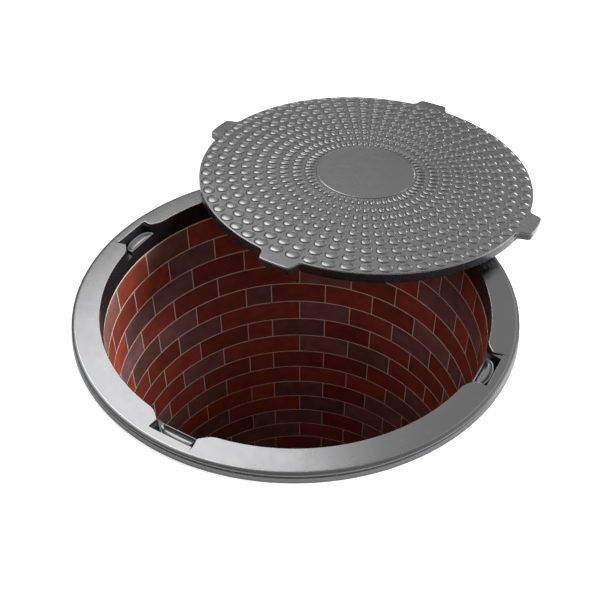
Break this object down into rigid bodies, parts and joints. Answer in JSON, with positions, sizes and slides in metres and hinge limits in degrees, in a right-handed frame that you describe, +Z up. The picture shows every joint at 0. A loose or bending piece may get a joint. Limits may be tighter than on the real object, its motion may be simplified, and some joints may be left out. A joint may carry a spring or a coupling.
{
  "type": "manhole cover",
  "caption": "Studded round cast-iron cover with lugs, dragged off its pocketed frame ring on a round brick shaft with a base slab.",
  "frame": {"origin": "centre of the base slab's underside, on the shaft's axis", "axes": "+Z up along the shaft's axis; the frame's four lug pockets lie on +X, +Y, -X and -Y; the cover lies off towards +Y"},
  "size_m": [0.84, 1.0629, 0.9171],
  "materials": {
    "cover_iron": "blasted and oiled grey iron, satin",
    "frame_iron": "machined and brushed grey iron, satin",
    "seat_iron": "machined, bright",
    "engineering_brick": "dark red and purple-grey fired clay, matt",
    "mortar": "pink-beige pointed mortar, matt",
    "concrete": "floated concrete, matt"
  },
  "bodies": {
    "shaft": {"base_slab": "concrete", "bedding_mortar": "mortar", "frame_ring": "frame_iron", "brick_course_01": "engineering_brick", "brick_course_02": "engineering_brick", "brick_course_03": "engineering_brick", "brick_course_04": "engineering_brick", "brick_course_05": "engineering_brick", "brick_course_06": "engineering_brick", "brick_course_07": "engineering_brick", "brick_course_08": "engineering_brick", "brick_course_09": "engineering_brick", "brick_course_10": "engineering_brick", "brick_course_11": "engineering_brick", "brick_course_12": "engineering_brick", "brick_course_13": "engineering_brick", "brick_course_14": "engineering_brick", "brick_course_15": "engineering_brick", "brick_course_16": "engineering_brick", "frame_bed": "mortar", "mortar_bed_01": "mortar", "mortar_bed_02": "mortar", "mortar_bed_03": "mortar", "mortar_bed_04": "mortar", "mortar_bed_05": "mortar", "mortar_bed_06": "mortar", "mortar_bed_07": "mortar", "mortar_bed_08": "mortar", "mortar_bed_09": "mortar", "mortar_bed_10": "mortar", "mortar_bed_11": "mortar", "mortar_bed_12": "mortar", "mortar_bed_13": "mortar", "mortar_bed_14": "mortar", "mortar_bed_15": "mortar", "mortar_bed_16": "mortar", "lug_seat_1": "seat_iron", "lug_seat_2": "seat_iron", "lug_seat_3": "seat_iron", "lug_seat_4": "seat_iron"},
    "cover": {"cover": "cover_iron"}
  },
  "joints": [
    {"name": "cover_slide", "type": "slide", "parent": "shaft", "child": "cover", "axis": [0.1305, -0.9909, 0.0332], "range_m": [0, 0.3259]}
  ]
}
